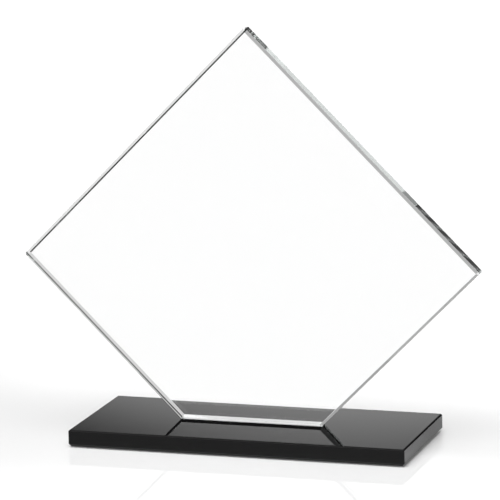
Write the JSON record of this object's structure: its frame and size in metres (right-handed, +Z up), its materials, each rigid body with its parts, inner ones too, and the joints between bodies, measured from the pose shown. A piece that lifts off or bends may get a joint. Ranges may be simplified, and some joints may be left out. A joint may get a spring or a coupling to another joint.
{
  "type": "crystal award",
  "caption": "Clear crystal award: a square plate standing on its corner, bonded by its flat-ground foot to a rectangular black glass base.",
  "frame": {"origin": "on the table, in the plane the foot pads rest on, under the middle of the plate", "axes": "+Z up; +X to the right along the width of the plate and base; +Y to the back; the award is seen from -Y"},
  "size_m": [0.276, 0.0888, 0.2441],
  "materials": {
    "clear_crystal": "polished",
    "black_glass": "polished",
    "bond_adhesive": "gloss",
    "pad_elastomer": "satin",
    "pad_adhesive": "satin"
  },
  "bodies": {
    "root": {"crystal_plate": "clear_crystal", "bond_film": "bond_adhesive", "base_slab": "black_glass", "foot_pad_front_left": "pad_elastomer", "foot_pad_front_right": "pad_elastomer", "foot_pad_back_left": "pad_elastomer", "foot_pad_back_right": "pad_elastomer", "pad_tape_front_left": "pad_adhesive", "pad_tape_front_right": "pad_adhesive", "pad_tape_back_left": "pad_adhesive", "pad_tape_back_right": "pad_adhesive"}
  },
  "joints": []
}
